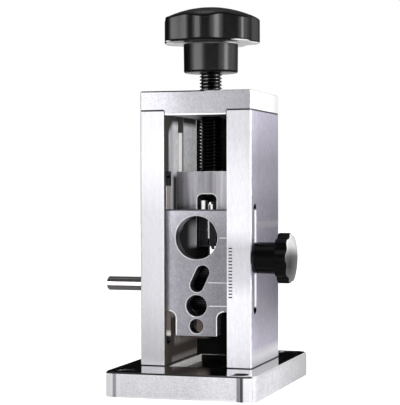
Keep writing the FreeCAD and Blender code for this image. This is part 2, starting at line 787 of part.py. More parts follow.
def guide_notch(edge):
    """A cutter for the lower right corner of the plate, from a side edge of the tongue outwards."""
    notch = box(edge, guide_half_width + 1, guide_y - guide_thickness, guide_y + guide_thickness,
                guide_bottom - 1, guide_shoulder)
    return notch.makeFillet(guide_notch_radius,
                            edges_at(notch, lambda p: near(p.x, edge) and near(p.z, guide_shoulder)))


def make_guide_plate():
    y0 = guide_y - guide_thickness / 2
    y1 = guide_y + guide_thickness / 2
    body = box(-guide_half_width, guide_half_width, y0, y1, guide_bottom, guide_top)
    tongue = guide_tongue_width / 2
    body = body.cut(guide_notch(tongue + hole_line_x)).cut(mirror_x(guide_notch(tongue - hole_line_x)))
    for diameter, height in ((big_hole_diameter, big_hole_height), (medium_hole_diameter, medium_hole_height),
                             (small_hole_diameter, small_hole_height)):
        body = body.cut(guide_hole(diameter, hole_line_x, height, y0))
    body = body.cut(oblong_cutter(y0))
    lines = ((big_hole_diameter / 2, big_hole_height), (oblong_side(oblong_line_height), oblong_line_height),
             (medium_hole_diameter / 2, medium_hole_height))
    for start, height in lines:
        z = guide_bottom + height
        line_start = hole_line_x + start + index_line_gap
        body = body.cut(box(line_start, guide_half_width + 1, y0 - 1, y0 + index_line_depth,
                            z - index_line_width / 2, z + index_line_width / 2))
    stud_start = guide_half_width - lock_stud_grip
    return body.cut(rod(lock_stud_diameter + 2 * fit_clearance, V(stud_start, guide_y, lock_z),
                        V(guide_half_width + 1, guide_y, lock_z)))


def lock_hub_start():
    return frame_half_width + lock_washer_gap + lock_washer_thickness


def make_lock_stud():
    start = guide_half_width - lock_stud_grip
    end = lock_hub_start() + lock_insert_length - 2 * lock_insert_floor
    body = rod(lock_stud_diameter, V(start, guide_y, lock_z), V(end, guide_y, lock_z))
    return body.makeChamfer(frame_edge_chamfer, edges_at(body, lambda p: near(p.x, start) or near(p.x, end)))


def make_lock_washer():
    x0 = frame_half_width + lock_washer_gap
    ring = rod(lock_washer_diameter, V(x0, guide_y, lock_z), V(x0 + lock_washer_thickness, guide_y, lock_z))
    return ring.cut(rod(lock_stud_diameter + 2 * lock_thread_clearance, V(x0 - 1, guide_y, lock_z),
                        V(x0 + lock_washer_thickness + 1, guide_y, lock_z)))


def make_lock_knob():
    body = lobed_knob(lock_rim_diameter, lock_rim_length, lock_dome_height, lock_hub_diameter,
                      lock_hub_length, lock_lobes, lock_scallop_radius, lock_scallop_depth, lock_lobe_angle)
    body.rotate(V(0, 0, 0), V(0, 1, 0), 90)
    body.translate(V(lock_hub_start(), guide_y, lock_z))
    hole = rod(lock_insert_diameter, V(lock_hub_start() - 1, guide_y, lock_z),
               V(lock_hub_start() + lock_insert_length, guide_y, lock_z))
    return body.cut(hole)


def make_lock_insert():
    x0 = lock_hub_start()
    body = rod(lock_insert_diameter, V(x0, guide_y, lock_z), V(x0 + lock_insert_length, guide_y, lock_z))
    return body.cut(rod(lock_stud_diameter + 2 * lock_thread_clearance, V(x0 - 1, guide_y, lock_z),
                        V(x0 + lock_insert_length - lock_insert_floor, guide_y, lock_z)))


nodes = {
    "base_plate": make_base_plate,
    "base_screws": make_base_screws,
    "left_upright": make_left_upright,
    "right_upright": make_right_upright,
    "top_plate": make_top_plate,
    "top_screws": make_top_screws,
    "rear_guard": make_rear_guard,
    "guard_screws": make_guard_screws,
    "left_bushing": make_left_bushing,
    "right_bushing": make_right_bushing,
    "drive_shaft": make_drive_shaft,
    "feed_roller": make_feed_roller,
    "roller_screws": make_roller_screws,
    "roller_spacers": make_roller_spacers,
    "adjuster_screw": make_adjuster_screw,
    "adjuster_knob": make_adjuster_knob,
    "knob_insert": make_knob_insert,
    "swivel_pins": make_swivel_pins,
    "blade_carriage": make_blade_carriage,
    "blade_holder": make_blade_holder,
    "blade": make_blade,
    "blade_clamp": make_blade_clamp,
    "clamp_screws": make_clamp_screws,
    "holder_screws": make_holder_screws,
    "guide_plate": make_guide_plate,
    "lock_stud": make_lock_stud,
    "lock_washer": make_lock_washer,
    "lock_knob": make_lock_knob,
    "lock_insert": make_lock_insert,
}

os.makedirs("parts", exist_ok=True)
for node, make in nodes.items():
    shape = make()
    if not shape.isValid():
        raise ValueError(node + " is not a valid solid")
    shape.exportStep("parts/" + node + ".step")
    print(node, len(shape.Solids), "solids", round(shape.Volume), "mm3")
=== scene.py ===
import math

import bpy
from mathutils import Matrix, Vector


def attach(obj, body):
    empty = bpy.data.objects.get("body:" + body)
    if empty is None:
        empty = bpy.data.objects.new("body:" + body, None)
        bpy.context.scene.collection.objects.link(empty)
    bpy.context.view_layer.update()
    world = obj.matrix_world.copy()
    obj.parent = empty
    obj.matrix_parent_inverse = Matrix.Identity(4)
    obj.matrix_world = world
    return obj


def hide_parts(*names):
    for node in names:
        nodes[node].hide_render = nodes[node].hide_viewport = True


# wire stripper: finishes with painted light and shade, moulded knobs, a cut thread and a plain studio round
# the imported parts
print("loading the packed frame")
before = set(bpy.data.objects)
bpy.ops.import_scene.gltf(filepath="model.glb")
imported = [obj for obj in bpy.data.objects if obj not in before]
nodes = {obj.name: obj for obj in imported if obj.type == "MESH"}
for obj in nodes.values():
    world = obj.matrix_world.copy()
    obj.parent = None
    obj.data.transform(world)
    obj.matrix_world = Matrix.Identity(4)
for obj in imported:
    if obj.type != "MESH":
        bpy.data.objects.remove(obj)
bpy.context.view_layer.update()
scene = bpy.context.scene
mm = 0.001

cameraSetup = {
    "place": (0.21557, -0.73143, 0.10398),    # metres
    "turn": 16.86,    # degrees round the object from the feed side
    "tilt": -0.62,
    "roll": 0.10,
    "lens": 128.92,
    "sensor": 36,
}


def makeCamera(setup):
    data = bpy.data.cameras.new("benchCamera")
    data.lens = setup["lens"]
    data.sensor_width = setup["sensor"]
    camera = bpy.data.objects.new("benchCamera", data)
    camera.location = setup["place"]
    angles = (90 + setup["tilt"], setup["roll"], setup["turn"])
    camera.rotation_euler = [math.radians(angle) for angle in angles]
    scene.collection.objects.link(camera)
    scene.camera = camera


makeCamera(cameraSetup)
print("camera placed")


# small helpers for building node trees
def newMaterial(name):
    material = bpy.data.materials.new(name)
    material.use_nodes = True
    return material, material.node_tree, material.node_tree.nodes["Principled BSDF"]


def setSocket(tree, socket, value):
    # a link from another node, or a plain value
    if isinstance(value, bpy.types.NodeSocket):
        tree.links.new(value, socket)
    else:
        socket.default_value = value


def addNode(tree, kind, inputs=None, **settings):
    node = tree.nodes.new("ShaderNode" + kind)
    for key, value in settings.items():
        setattr(node, key, value)
    for key, value in (inputs or {}).items():
        setSocket(tree, node.inputs[key], value)
    return node


def axesOf(tree, kind):
    # the X, Y and Z of each point, or of the way its surface looks
    return addNode(tree, "SeparateXYZ", {0: addNode(tree, "TexCoord").outputs[kind]}).outputs


def spread(tree, value, low, high, newLow, newHigh):
    found = addNode(tree, "MapRange", {"Value": value, "From Min": low, "From Max": high,
                                       "To Min": newLow, "To Max": newHigh}, clamp=True)
    return found.outputs["Result"]


def blendValues(tree, share, first, second):
    return addNode(tree, "Mix", {0: share, 2: first, 3: second}, data_type="FLOAT").outputs[0]


def blendColours(tree, share, first, second, mode="MIX"):
    mixed = addNode(tree, "Mix", data_type="RGBA", blend_type=mode)
    for number, value in {0: share, 6: first, 7: second}.items():
        setSocket(tree, mixed.inputs[number], value)
    return mixed.outputs[2]


def madeOf(tree, kind, *values):
    # one step of arithmetic on values of a node tree
    return addNode(tree, "Math", dict(enumerate(values)), operation=kind).outputs[0]


def colour(value):
    # a socket also wants an alpha
    return (*value, 1.0)


def grey(level):
    return colour([level] * 3)


def bumpFrom(tree, height, strength, distance, under=None):
    bump = addNode(tree, "Bump", {"Height": height, "Strength": strength, "Distance": distance})
    if under is not None:
        tree.links.new(under, bump.inputs["Normal"])
    return bump.outputs["Normal"]


# the noises in the finishes: a shift keeps each apart from the others, and used is the part of its values
# that makes the difference between dark and light
patterns = {
    "grain": {"detail": 6, "roughness": 0.7, "shift": 0, "used": (0.3, 0.7)},
    "streaks": {"scale": 150, "detail": 4, "roughness": 0.6, "shift": 7, "used": (0.38, 0.62)},
    "clouds": {"scale": 45, "detail": 3, "roughness": 0.5, "shift": 3, "used": (0.3, 0.7)},
    "specks": {"scale": 1900, "detail": 2, "roughness": 0.5, "shift": 5},
    "grit": {"detail": 3, "roughness": 0.65, "shift": 11, "used": (0.30, 0.62)},
    "mouldGrain": {"detail": 3, "roughness": 0.6, "shift": 0, "used": (0.3, 0.7)},
    "mouldClouds": {"scale": 60, "detail": 3, "roughness": 0.5, "shift": 2, "used": (0.3, 0.7)},
}
shiftShares = (1.0, 0.37, 1.7)    # of a pattern's shift along X, Y and Z


def noiseOn(tree, kind, stretch=(1, 1, 1), scale=None):
    # grain that runs along the axis with the smallest number in stretch
    pattern = patterns[kind]
    where = addNode(tree, "TexCoord").outputs["Object"]
    shift = [pattern["shift"] * share for share in shiftShares]
    placed = addNode(tree, "Mapping", {"Vector": where, "Scale": stretch, "Location": shift})
    noise = addNode(tree, "TexNoise", {"Vector": placed.outputs["Vector"], "Scale": scale or pattern["scale"],
                                       "Detail": pattern["detail"], "Roughness": pattern["roughness"]})
    return noise.outputs["Fac"]


def usedPart(tree, kind, noise, low, high):
    return spread(tree, noise, *patterns[kind]["used"], low, high)


# a finish is a base pattern with painted shading and with patches of its own on some places of a piece, many
# of them painted light and shade; sizes are in mm in the frame of the whole tool
def area(facing="", x=None, y=None, z=None, **more):
    # where on a piece: the ways its surface looks, such as "+X-Y", the limits, and what else is said of it
    box = {axis: limits for axis, limits in zip("XYZ", (x, y, z)) if limits}
    signs = {axis: -1 if sign == "-" else 1 for sign, axis in zip(facing[::2], facing[1::2])}
    return {"box": box, "facing": signs, **more}


def patch(tint, facing="", **more):
    # an area with a tone of its own, for real marks and for painted light and shade; one number stands for a
    # grey
    return {"tint": tint if isinstance(tint, tuple) else (tint, tint, tint), **area(facing, **more)}


maskSetup = {
    "soft": 0.08,                # mm, at the limits of an area that gives no softness of its own
    "facing": (0.40, 0.60),      # from not looking along an axis to looking along it
    "repeatSoft": 0.04,
    "edge": (0.93, 0.99),        # from a sharp edge to a plain face
    "edgeSamples": 6,
    "slope": (0.25, 0.45),       # from an upright wall of a moulding to its top
    "sideShine": 0.04,           # what a wall keeps of its shine where it turns away
}


def areaMask(tree, zone):
    # 1 inside an area of a piece, 0 outside it
    place = axesOf(tree, "Object")
    soft = zone.get("soft", maskSetup["soft"]) * mm
    parts = []

    def along(axis):
        mirrored = axis in zone.get("mirrored", "")
        return madeOf(tree, "ABSOLUTE", place[axis]) if mirrored else place[axis]

    for axis, (low, high) in zone["box"].items():
        parts.append(spread(tree, along(axis), low * mm - soft, low * mm + soft, 0, 1))
        parts.append(spread(tree, along(axis), high * mm - soft, high * mm + soft, 1, 0))
    for axis, sign in zone["facing"].items():
        low, high = maskSetup["facing"]
        parts.append(spread(tree, axesOf(tree, "Normal")[axis], low * sign, high * sign, 0, 1))
    if "round" in zone:
        axes, centre, radius = zone["round"]
        away = [madeOf(tree, "SUBTRACT", along(axis), middle * mm) for axis, middle in zip(axes, centre)]
        squares = [madeOf(tree, "MULTIPLY", side, side) for side in away]
        reach = madeOf(tree, "SQRT", madeOf(tree, "ADD", *squares))
        parts.append(spread(tree, reach, radius * mm - soft, radius * mm + soft, 1, 0))
    if "repeat" in zone:
        axis, pitch, share = zone["repeat"]
        step = madeOf(tree, "FRACT", madeOf(tree, "DIVIDE", place[axis], pitch * mm))
        repeatSoft = maskSetup["repeatSoft"]
        parts.append(spread(tree, step, share - repeatSoft, share + repeatSoft, 1, 0))
    mask = parts[0]
    for part in parts[1:]:
        mask = madeOf(tree, "MULTIPLY", mask, part)
    return mask


def edgeMask(tree, radius):
    # 1 along the sharp edges of a piece
    bevel = addNode(tree, "Bevel", {"Radius": radius * mm}, samples=maskSetup["edgeSamples"])
    plain = addNode(tree, "NewGeometry")
    same = addNode(tree, "VectorMath", {0: bevel.outputs["Normal"], 1: plain.outputs["Normal"]},
                   operation="DOT_PRODUCT")
    return spread(tree, same.outputs["Value"], *maskSetup["edge"], 1, 0)


def addPaintedShading(tree, look, tone):
    # painted light and shade: slow changes of tone along a face, each between the first and the last of its
    # points
    for axis, points, *where in look.get("paintedShading", []):
        low, high = points[0][0] * mm, points[-1][0] * mm
        ramp = addNode(tree, "ValToRGB", {"Fac": spread(tree, axesOf(tree, "Object")[axis], low, high, 0, 1)})
        stops = ramp.color_ramp.elements
        while len(stops) < len(points):
            stops.new(0.5)
        for stop, (at, level) in zip(stops, points):
            stop.position = (at * mm - low) / (high - low)
            stop.color = grey(level)
        share = areaMask(tree, where[0]) if where else 1.0
        tone = blendColours(tree, share, tone, ramp.outputs["Color"], "MULTIPLY")
    return tone


def addPatches(tree, look, values):
    # each patch can change the tone, roughness, metal share and shine, and can add grit
    for zone in look.get("patches", []):
        mask = areaMask(tree, zone)
        share = spread(tree, mask, 0, 1, 0, zone.get("share", 1.0))
        tone = blendColours(tree, share, values["tone"], colour(zone["tint"]), zone.get("mode", "MIX"))
        if "grit" in zone:
            scale, level, stretch = zone["grit"]
            clean = usedPart(tree, "grit", noiseOn(tree, "grit", stretch, scale), 0, 1)
            spots = madeOf(tree, "MULTIPLY", mask, madeOf(tree, "SUBTRACT", 1.0, clean))
            tone = blendColours(tree, spots, tone, grey(level), "MULTIPLY")
        values["tone"] = tone
        for key in ("rough", "metal", "shine"):
            if key in zone:
                values[key] = blendValues(tree, mask, values[key], zone[key])


def finishWithPaintedLight(tree, shader, look, tone, rough):
    # painted shading, a painted highlight along sharp edges, then the patches with their real marks and
    # painted light and shade
    values = {"tone": addPaintedShading(tree, look, tone), "rough": rough,
              "metal": shader.inputs["Metallic"].default_value,
              "shine": shader.inputs["Specular IOR Level"].default_value}
    # a painted highlight along the sharp edges
    if "edge" in look:
        radius, share, paintedEdgeHighlight = look["edge"]
        edge = spread(tree, edgeMask(tree, radius), 0, 1, 0, share)
        values["tone"] = blendColours(tree, edge, values["tone"], colour(paintedEdgeHighlight))
    addPatches(tree, look, values)
    if "seam" in look:
        # the rounded edges of a moulding are dull
        seam = addNode(tree, "Attribute", attribute_name="seam").outputs["Fac"]
        dull = spread(tree, seam, 0, 1, 1, look["seam"])
        values["shine"] = madeOf(tree, "MULTIPLY", values["shine"], dull)
    if "groove" in look:
        # painted shade in the roots of the thread
        groove = addNode(tree, "Attribute", attribute_name="groove").outputs["Fac"]
        values["tone"] = blendColours(tree, groove, values["tone"], grey(look["groove"]), "MULTIPLY")
    if "sideFade" in look:
        # upright walls are dull where they turn away
        axis, low, high = look["sideFade"]
        facing = addNode(tree, "LayerWeight", {"Blend": 0.5}).outputs["Facing"]
        turned = spread(tree, facing, low, high, 1, maskSetup["sideShine"])
        slope = madeOf(tree, "ABSOLUTE", axesOf(tree, "Normal")[axis])
        level = spread(tree, slope, *maskSetup["slope"], 0, 1)
        values["shine"] = madeOf(tree, "MULTIPLY", values["shine"], madeOf(tree, "MAXIMUM", turned, level))
    sockets = {"tone": "Base Color", "rough": "Roughness", "metal": "Metallic", "shine": "Specular IOR Level"}
    for key, socket in sockets.items():
        setSocket(tree, shader.inputs[socket], values[key])


metalSetup = {
    "stainShare": 0.35, "streakShare": 0.3,    # how far stains and streaks show
    "roughUsed": (0.25, 0.75),                 # the part of the grain that makes the roughness
    "grainDepth": 0.0001, "speckDepth": 0.00005,
}


def makeMetal(name, look):
    material, tree, shader = newMaterial(name)
    shader.inputs["Metallic"].default_value = 1.0
    dark, light, stain = (colour(look[key]) for key in ("dark", "light", "stain"))
    grain = noiseOn(tree, "grain", look["stretch"], look["grainScale"])
    clouds = noiseOn(tree, "clouds")
    streaks = noiseOn(tree, "streaks", look.get("streakStretch", look["stretch"]), look.get("streakScale"))
    tone = blendColours(tree, usedPart(tree, "grain", grain, 0, 1), dark, light)
    stained = usedPart(tree, "clouds", clouds, 0, metalSetup["stainShare"])
    tone = blendColours(tree, stained, tone, stain)
    streaked = usedPart(tree, "streaks", streaks, 0, look.get("streakShare", metalSetup["streakShare"]))
    tone = blendColours(tree, streaked, tone, dark)
    rough = spread(tree, grain, *metalSetup["roughUsed"], *look["roughness"])
    finishWithPaintedLight(tree, shader, look, tone, rough)
    normal = bumpFrom(tree, grain, look["grainBump"], metalSetup["grainDepth"])
    normal = bumpFrom(tree, noiseOn(tree, "specks"), look["speckBump"], metalSetup["speckDepth"], normal)
    tree.links.new(normal, shader.inputs["Normal"])
    return material


mouldDepth = 0.0001


def makeMoulded(name, look):
    material, tree, shader = newMaterial(name)
    grain = noiseOn(tree, "mouldGrain", scale=look["grainScale"])
    clouds = usedPart(tree, "mouldClouds", noiseOn(tree, "mouldClouds"), 0, 1)
    tone = blendColours(tree, clouds, colour(look["dark"]), colour(look["light"]))
    rough = usedPart(tree, "mouldGrain", grain, *look["roughness"])
    shader.inputs["Specular IOR Level"].default_value = look["specular"]
    finishWithPaintedLight(tree, shader, look, tone, rough)
    tree.links.new(bumpFrom(tree, grain, look["bump"], mouldDepth), shader.inputs["Normal"])
    return material


# dark and light are the tones of the grain and stain shows in soft clouds; stretch has its smallest number
# along the mill lines. A painted shading has an axis, points of place and level, and the area that it holds
# in.
# An edge is a painted highlight with a radius, a share and a tone; grit has a size, the level of its spots
# and a stretch.
finishesWithPaintedLight = {
    "milled": {
        "dark": (0.68, 0.675, 0.72), "light": (0.93, 0.925, 0.96), "stain": (0.78, 0.775, 0.83),
        "stretch": (6, 6, 0.6), "grainScale": 500, "streakStretch": (3, 3, 0.12), "streakScale": 160,
        "streakShare": 0.22, "roughness": (0.26, 0.42), "grainBump": 0.25, "speckBump": 0.25,
        "paintedShading": [
            # painted light and shade: both uprights darker towards the left
            ("X", ((-29.4, 0.80), (-16.6, 0.90), (16.6, 0.97), (29.2, 1.0))),
            # painted light and shade on the right side: lightest at the height of the lock and at the top,
            # and darker to the back
            ("Z", ((12.4, 0.72), (38.0, 0.50), (52.0, 0.76), (66.0, 0.95), (82.0, 1.0), (96.0, 0.64),
                   (117.0, 0.57), (143.0, 1.1)), area("+X", x=(29.0, 29.6))),
            ("Y", ((-28.6, 1.30), (-14.0, 0.95), (28.6, 0.74)), area("+X", x=(29.0, 29.6))),
            # painted shade on the front of the left upright, darker low down, and of the right one, darker in
            # the middle
            ("Z", ((12.4, 0.66), (28.0, 0.64), (48.0, 0.75), (90.0, 0.78), (115.0, 1.0), (143.0, 1.0)),
             area("-Y", x=(-30.0, 0.0), y=(-29.0, -28.0))),
            ("Z", ((12.4, 1.1), (24.0, 1.0), (48.0, 1.0), (57.0, 0.74), (73.0, 0.66), (82.0, 1.0),
                   (112.0, 1.0), (130.0, 0.87)), area("-Y", x=(0.0, 30.0), y=(-29.0, -28.0))),
            # painted shade on the inner face behind the big hole: dark, then lighter towards its back edge
            ("Y", ((-10.0, 0.03), (8.0, 0.04), (14.0, 0.12), (27.0, 1.0)),
             area("+X", x=(-17.0, -16.0), y=(-10.0, 30.0), z=(52.0, 89.0))),
        ],
        "edge": (0.35, 1.0, (1.0, 1.0, 1.0)),
        "patches": [
            # inner faces, left rougher by the side mill
            patch((1.0, 0.98, 0.97), "+X", x=(-24.0, -16.0), mode="MULTIPLY", rough=0.55, metal=0.05,
                  grit=(150, 0.50, (3, 3, 0.12))),
            # speckle and a violet cast on the right side, and a painted reflection band across it
            patch((1.02, 0.955, 1.12), "+X", x=(25.0, 34.0), mode="MULTIPLY", grit=(900, 0.72, (1, 1, 0.4))),
            patch((0.80, 0.80, 0.82), "+X", x=(25.0, 34.0), z=(82.6, 86.0), share=0.5, soft=0.7),
            # left inner face: dark strip along its front edge, and a painted shadow behind the carriage
            patch((0.05, 0.048, 0.046), "+X", x=(-19.0, -13.0), y=(-32.0, -20.5), z=(12.0, 146.0), soft=1.2,
                  shine=0.10),
            patch((0.03, 0.029, 0.029), "+X", x=(-20.0, -12.0), y=(-13.5, -7.0), z=(88.0, 110.0), soft=1.5,
                  shine=0.10),
            # darker and brown low down, with two lighter bands in it
            patch((0.065, 0.054, 0.049), "+X", x=(-20.0, -12.0), y=(-34.0, 30.0), z=(10.0, 38.0), soft=2.5,
                  shine=0.12),
            patch((0.27, 0.245, 0.23), "+X", x=(-20.0, -12.0), y=(-11.5, 34.0), z=(21.8, 27.6), soft=1.5,
                  grit=(300, 0.60, (1, 1, 0.5))),
            patch((0.30, 0.28, 0.265), "+X", x=(-20.0, -12.0), y=(-16.0, 30.0), z=(9.0, 15.4), soft=1.2,
                  grit=(900, 0.45, (1, 1, 1))),
            # painted light above the carriage
            patch((0.96, 0.975, 1.0), "+X", x=(-20.0, -12.0), y=(-13.0, 34.0), z=(112.0, 150.0), share=0.85,
                  soft=2.5, grit=(600, 0.62, (1, 1, 0.5))),
            # the key's shadow at the top
            patch((0.05, 0.048, 0.046), "+X", x=(-20.0, -12.0), round=("YZ", (-30.0, 150.0), 20.0), soft=1.5,
                  shine=0.10),
            patch((0.05, 0.048, 0.046), "+X", x=(-20.0, -12.0), y=(-40.0, 28.0), z=(137.2, 150.0), soft=1.4,
                  shine=0.10),
            # painted shade behind the big hole, and a painted highlight along the back edge
            patch(0.015, "+X", x=(-20.0, -12.0), y=(-20.0, 13.0), z=(50.0, 88.0), soft=2.5, shine=0.03),
            patch(0.01, "+X", x=(-20.0, -12.0), y=(8.0, 34.0), z=(50.0, 71.6), soft=1.2, shine=0.03),
            patch(0.01, "+X", x=(-22.0, -10.0), y=(4.0, 34.0), z=(84.0, 92.0), soft=3.0, shine=0.03),
            patch(1.0, "+X", x=(-17.0, -16.0), y=(27.4, 28.6), z=(72.5, 143.0), soft=0.2, metal=0.0),
            # painted shade on the front walls of the grooves
            patch(0.10, "+Y", x=(-25.0, -17.2)),
            # back wall of the carriage's groove: light grey, with painted shade in its corner and at its top
            # under the top plate
            patch((0.45, 0.44, 0.43), "-Y", x=(-25.0, -16.9), y=(4.0, 6.0), rough=0.5, metal=0.0),
            patch((0.09, 0.085, 0.085), "-Y", x=(-17.6, -16.5), y=(4.0, 6.0), soft=0.2, metal=0.0),
            patch(0.02, "-Y", x=(-25.0, -16.9), y=(4.0, 6.0), z=(132.7, 143.0)),
            # back wall of the guide's groove: grey with a painted highlight strip, a darker brown foot and
            # painted shade at its ends
            patch((0.14, 0.13, 0.127), "-Y", x=(-25.0, -16.9), y=(-18.0, -16.5), rough=0.5, metal=0.0),
            patch((0.50, 0.48, 0.47), "-Y", x=(-19.7, -19.0), y=(-18.0, -16.5), z=(28.0, 105.0), soft=0.2),
            patch((0.085, 0.074, 0.066), "-Y", x=(-25.0, -15.0), y=(-21.0, -14.0), z=(12.0, 40.0), soft=1.0),
            patch((0.36, 0.345, 0.34), "-Y", x=(-25.0, -15.0), y=(-21.0, -14.0), z=(26.5, 29.2), soft=0.9),
            patch(0.01, x=(-25.0, -16.9), y=(-28.0, -14.0), z=(10.0, 26.7), soft=0.3, shine=0.05),
            patch(0.012, x=(-25.0, -16.0), y=(-26.0, -16.5), z=(104.5, 112.0)),
            # painted light on the foot of the right side
            patch((0.82, 0.81, 0.84), "+X", x=(25.0, 34.0), z=(10.0, 20.0), soft=2.5, rough=0.5),
            # the wall of the lock's slot with a painted highlight near its outer edge, and painted shade in
            # its round ends
            patch((0.14, 0.14, 0.145), "-Y", x=(20.7, 29.3), y=(-19.0, -16.5), z=(42.0, 93.0), rough=0.5,
                  metal=0.0),
            patch((0.55, 0.55, 0.56), "-Y", x=(28.25, 29.15), y=(-19.0, -16.5), z=(43.0, 92.0), soft=0.2),
            patch(0.01, x=(20.0, 29.2), y=(-26.0, -16.5), z=(38.0, 42.4), rough=0.6),
            patch(0.01, x=(20.0, 29.2), y=(-26.0, -16.5), z=(92.6, 97.0), rough=0.6),
            # joints with the base and the top plate
            patch((0.04, 0.04, 0.045), z=(12.0, 12.85), soft=0.12),
            patch((0.04, 0.04, 0.045), z=(142.45, 143.2), soft=0.12),
            # a plain scale of ticks beside the guide
            patch((0.03, 0.03, 0.035), "-Y", x=(17.5, 19.4), z=(47.8, 74.3), repeat=("Z", 1.65, 0.42),
                  share=0.95),
        ]},
    "topPlate": {
        "dark": (0.62, 0.61, 0.67), "light": (0.90, 0.89, 0.94), "stain": (0.70, 0.69, 0.75),
        "stretch": (1, 1, 1), "grainScale": 900, "streakStretch": (0.6, 1.4, 1.4), "streakScale": 260,
        "streakShare": 0.22, "roughness": (0.26, 0.42), "grainBump": 0.25, "speckBump": 0.25,
        # painted light and shade: the plate lighter at its left end
        "paintedShading": [("X", ((-29.4, 1.0), (-17.0, 0.95), (-4.3, 0.68), (29.2, 0.62)))],
        "edge": (0.35, 1.0, (1.0, 1.0, 1.0)),
        "patches": [
            # the right end, with painted shade towards the back
            patch((0.90, 0.90, 0.91), "+X", x=(29.0, 29.6), rough=0.5, metal=0.0),
            patch((0.62, 0.62, 0.63), "+X", x=(10.0, 50.0), y=(14.0, 60.0), z=(120.0, 180.0), soft=10.0),
            # line under the top edge
            patch(0.02, "-Y", x=(-29.6, 5.0), z=(152.25, 153.2)),
            patch((0.25, 0.25, 0.26), "-Y", x=(5.0, 29.6), z=(152.4, 153.2)),
            # speckle on the front
            patch(1.0, "-Y", mode="MULTIPLY", grit=(900, 0.85, (1, 1, 1))),
            # joints with the uprights, and a painted highlight on the lower edge of the key
            patch((0.04, 0.04, 0.045), x=(16.6, 29.6), z=(142.4, 143.3), mirrored="X", soft=0.12),
            patch((0.04, 0.04, 0.045), x=(16.15, 16.8), z=(140.0, 142.9), mirrored="X"),
            patch(1.0, "-Y", x=(-16.3, 16.3), z=(140.4, 141.2)),
        ]},
    "guidePlate": {
        "dark": (0.36, 0.35, 0.39), "light": (0.52, 0.51, 0.56), "stain": (0.41, 0.40, 0.45),
        "stretch": (1, 1, 1), "grainScale": 1500, "streakStretch": (1, 1, 1), "streakScale": 500,
        "roughness": (0.34, 0.48), "grainBump": 0.3, "speckBump": 0.3,
        "paintedShading": [
            # painted light and shade: lighter at the left and at the top of the front
            ("X", ((-15.5, 1.0), (-10.0, 0.72), (4.0, 0.62), (9.0, 0.53), (20.0, 0.52)), area("-Y")),
            ("Z", ((31.0, 1.05), (76.0, 1.0), (92.0, 1.6)), area("-Y")),
        ],
        "edge": (0.12, 0.50, (0.95, 0.95, 0.97)),
        "patches": [
            # painted highlight on the chamfers round the holes
            patch(0.42, y=(-25.05, -24.78), soft=0.02, rough=0.4, metal=0.0),
            # speckle of the blasted front, shade at its left edge and its top
            patch(1.0, "-Y", mode="MULTIPLY", grit=(700, 0.80, (1, 1, 1))),
            patch((0.20, 0.19, 0.21), x=(-20.5, -17.2), y=(-25.3, -24.9), soft=0.1),
            patch((0.06, 0.06, 0.065), z=(91.75, 92.6), soft=0.05),
            # painted highlight on the rims of the two notches
            patch(0.42, "-Y", x=(-12.0, -11.05), z=(28.3, 36.8), metal=0.0),
            patch(0.42, "-Y", x=(-15.2, -9.0), z=(36.8, 42.0), round=("XZ", (-15.15, 36.8), 4.05), metal=0.0),
            patch(0.42, "-Y", x=(9.9, 11.0), z=(28.3, 36.8), metal=0.0),
            patch(0.42, "-Y", x=(9.0, 14.0), z=(36.8, 42.0), round=("XZ", (13.95, 36.8), 4.05), metal=0.0),
        ]},
    "carriage": {
        "dark": (0.40, 0.39, 0.42), "light": (0.58, 0.57, 0.61), "stain": (0.44, 0.43, 0.47),
        "stretch": (4, 4, 0.6), "grainScale": 600, "streakStretch": (3, 3, 0.15), "streakScale": 200,
        "streakShare": 0.8, "roughness": (0.34, 0.50), "grainBump": 0.3, "speckBump": 0.3,
        # painted light and shade in bands across the front
        "paintedShading": [("X", ((-17.0, 0.62), (-14.0, 0.75), (-9.0, 1.7), (-4.0, 1.0), (2.0, 0.58), (7.0, 1.15),
                          (20.0, 1.2)), area("-Y"))],
        "edge": (0.40, 0.85, (0.95, 0.95, 0.97)),
        "patches": [
            # shade in the left groove, and brushed streaks on the front
            patch((0.04, 0.04, 0.045), x=(-16.8, -16.0), soft=0.1),
            patch(1.0, "-Y", mode="MULTIPLY", grit=(210, 0.72, (3, 3, 0.15))),
            # painted highlight round the arch
            patch(0.38, "-Y", x=(-1.0, 5.7), z=(89.0, 97.2), mirrored="X", metal=0.0),
            patch(0.38, "-Y", x=(-1.0, 2.3), z=(99.0, 100.6), mirrored="X", metal=0.0),
            patch(0.38, "-Y", round=("XZ", (2.3, 97.2), 3.4), mirrored="X", metal=0.0),
        ]},
    "polished": {
        "dark": (0.74, 0.74, 0.76), "light": (0.90, 0.90, 0.92), "stain": (0.80, 0.80, 0.82),
        "stretch": (1.2, 1.2, 5), "grainScale": 260, "streakStretch": (1.4, 1.4, 0.5), "streakScale": 130,
        "streakShare": 0.35, "roughness": (0.05, 0.13), "grainBump": 0.05, "speckBump": 0.05,
        "paintedShading": [
            # painted shade: the front darker to the left, the right side darker to the back
            ("X", ((-39.0, 0.70), (-22.0, 0.80), (8.0, 0.82), (18.0, 0.98)), area("-Y")),
            ("Y", ((-58.0, 1.05), (-20.0, 1.1), (5.0, 0.88), (50.0, 0.60)), area("+X")),
        ],
        "patches": [
            # fine matt field on the front, between its plain ends
            patch((0.94, 0.94, 0.95), "-Y", x=(-29.7, 29.7), z=(0.9, 11.4), mode="MULTIPLY", rough=0.34,
                  grit=(1300, 0.74, (1, 1, 1))),
            # coarser field on the right side
            patch((0.88, 0.88, 0.89), "+X", x=(37.0, 42.0), mode="MULTIPLY", rough=0.30,
                  grit=(500, 0.80, (1, 0.5, 1))),
            # dark reflections at both ends of the front
            patch((0.22, 0.22, 0.24), "-Y", x=(29.7, 31.2), soft=0.3),
            patch((0.07, 0.07, 0.08), "-Y", x=(31.2, 33.0), soft=0.3),
            patch((0.25, 0.25, 0.27), "-Y", x=(-33.8, -32.0), soft=0.3),
            # painted shade on the front chamfer and a painted highlight on the right one
